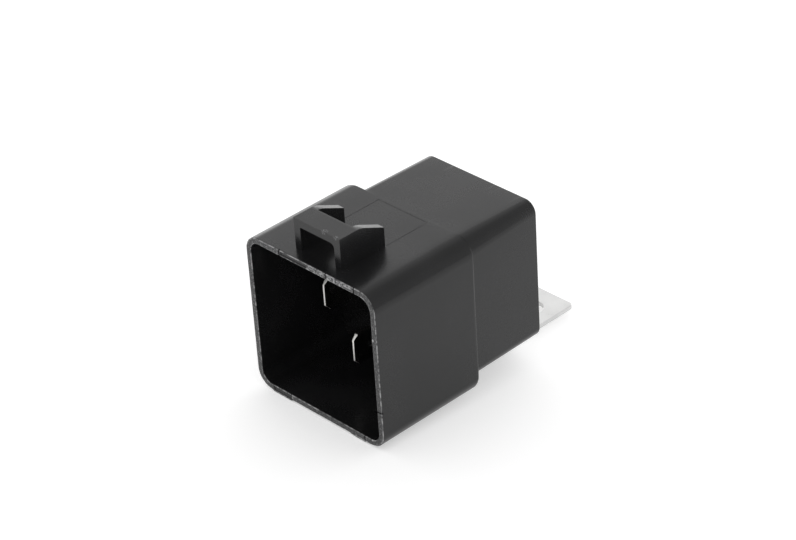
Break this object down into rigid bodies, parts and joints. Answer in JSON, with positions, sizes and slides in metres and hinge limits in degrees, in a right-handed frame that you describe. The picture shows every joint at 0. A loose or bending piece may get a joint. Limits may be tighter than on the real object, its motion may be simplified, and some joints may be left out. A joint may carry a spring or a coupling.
{
  "type": "automotive relay",
  "caption": "Weather-resistant automotive relay with a deep black skirt round four blades, a lock bridge on top and a steel mounting tab.",
  "frame": {"origin": "centre of the skirt's open rim, where the socket goes in", "axes": "+Y along the relay, from the open rim to the mounting tab; +Z towards the lock bridge; +X to the side that the body leans to"},
  "size_m": [0.0324, 0.0584, 0.0412],
  "materials": {
    "black_nylon": "moulded, low sheen",
    "bracket_steel": "zinc plated, satin",
    "base_nylon": "moulded, matt",
    "sealing_epoxy": "cast, glossy",
    "blade_tin": "tin plated brass",
    "contact_silver": "silver-faced copper, polished",
    "magnet_iron": "plated soft iron",
    "bobbin_nylon": "glass filled, matt",
    "enamelled_copper": "varnished copper wire",
    "spring_bronze": "rolled bronze strip",
    "rivet_metal": "plated, formed heads",
    "resistor_lacquer": "lacquered ceramic",
    "tinned_wire": "tinned copper, bright",
    "braid_copper": "plaited bare copper"
  },
  "bodies": {
    "housing": {"cover": "black_nylon", "mounting_bracket": "bracket_steel", "base_plate": "base_nylon", "sealing_resin": "sealing_epoxy", "terminal_30": "blade_tin", "terminal_85": "blade_tin", "terminal_86": "blade_tin", "terminal_87": "blade_tin", "fixed_contact": "contact_silver", "yoke": "magnet_iron", "core": "magnet_iron", "bobbin": "bobbin_nylon", "coil_winding": "enamelled_copper", "coil_lead_85": "enamelled_copper", "coil_lead_86": "enamelled_copper", "suppression_resistor": "resistor_lacquer", "resistor_lead_85": "tinned_wire", "resistor_lead_86": "tinned_wire", "return_spring": "spring_bronze", "return_spring_rivets": "rivet_metal", "flexible_braid": "braid_copper"},
    "armature": {"armature": "magnet_iron", "contact_spring": "spring_bronze", "armature_rivets": "rivet_metal", "moving_contact": "contact_silver"}
  },
  "joints": [
    {"name": "armature_hinge", "type": "hinge", "parent": "housing", "child": "armature", "pos_m": [0.002, 0.03621, -0.0088], "axis": [1, 0, 0], "range_deg": [0, 3.2], "stiffness_Nm_per_rad": 0.004, "springref_deg": -20.05}
  ]
}
